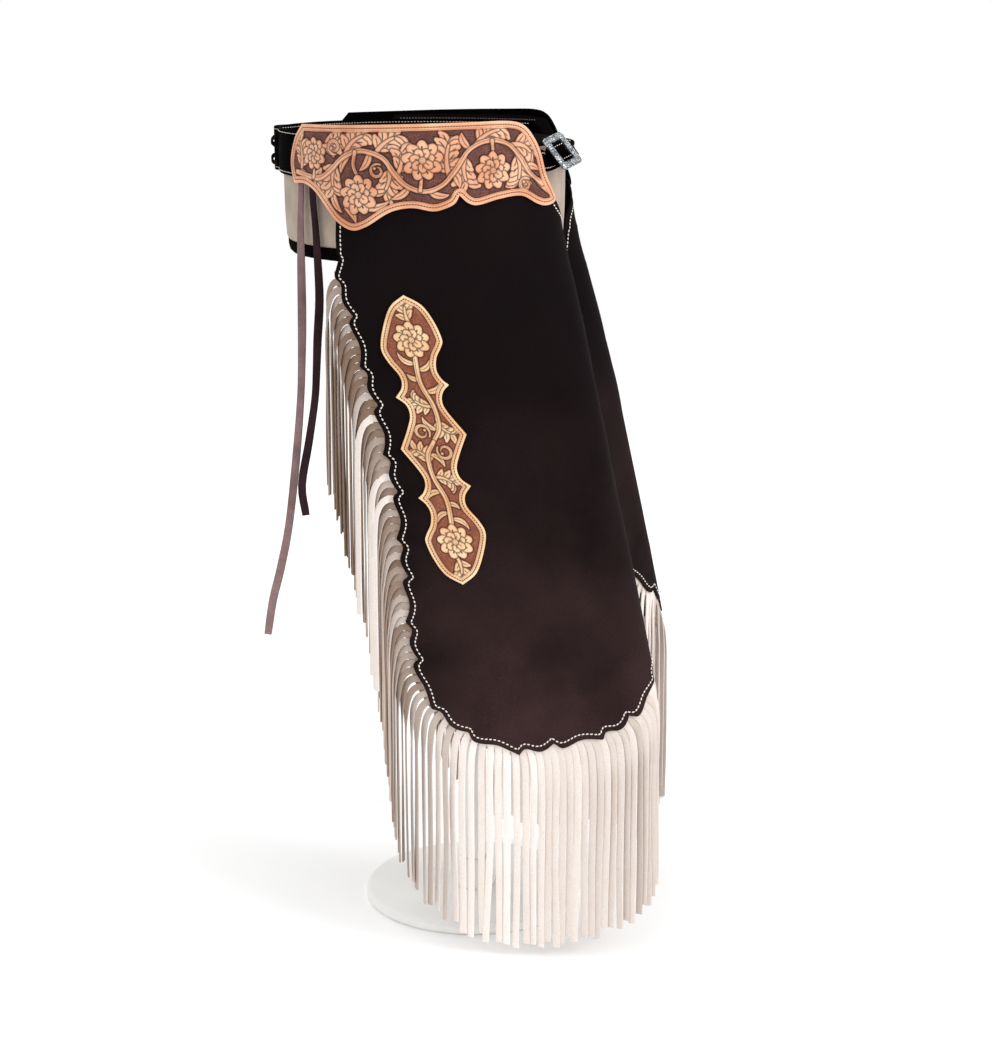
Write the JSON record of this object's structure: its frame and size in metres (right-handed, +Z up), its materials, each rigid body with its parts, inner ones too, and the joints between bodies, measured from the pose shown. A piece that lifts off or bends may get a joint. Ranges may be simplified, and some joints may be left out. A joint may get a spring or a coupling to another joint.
{
  "type": "fringed leather chaps on a limbless hip form",
  "caption": "Knee-length suede chaps with tooled leather yokes, scalloped edges and long side fringe, buckled round a limbless hip form on a pole stand.",
  "frame": {"origin": "middle of the stand base's underside, on the pole's axis", "axes": "+Z up; the wearer would face -Y, with the right leg on the -X side"},
  "size_m": [0.333, 0.4028, 0.8156],
  "materials": {
    "form_cloth": "cream woven cover, matt",
    "form_dark": "charcoal woven band and cap, matt",
    "stand_steel": "off-white powder coat",
    "belt_leather": "black smooth leather, stitched edges",
    "lace_leather": "dark brown lace",
    "chocolate_suede": "very dark chocolate suede, short nap",
    "tooled_leather": "natural vegetable-tanned leather, carved and stamped, background dyed plum brown",
    "cream_suede": "cream split suede, matt",
    "thong_light": "mauve-brown leather thong, flesh side out",
    "thong_dark": "dark brown leather thong",
    "buckle_silver": "engraved silver-coloured metal, slightly darkened in the cuts"
  },
  "bodies": {
    "root": {"stand_base": "stand_steel", "stand_pole": "stand_steel", "stand_collar": "stand_steel", "form_body": "form_cloth", "form_band": "form_dark", "form_cap": "form_dark", "belt_right": "belt_leather", "belt_left": "belt_leather", "back_lace": "lace_leather", "buckle_frame": "buckle_silver", "buckle_bar": "buckle_silver", "panel_right": "chocolate_suede", "panel_left": "chocolate_suede", "yoke_right": "tooled_leather", "yoke_left": "tooled_leather", "applique_right": "tooled_leather", "applique_left": "tooled_leather", "fringe_right": "cream_suede", "fringe_left": "cream_suede", "thong_light": "thong_light", "thong_dark": "thong_dark"}
  },
  "joints": []
}
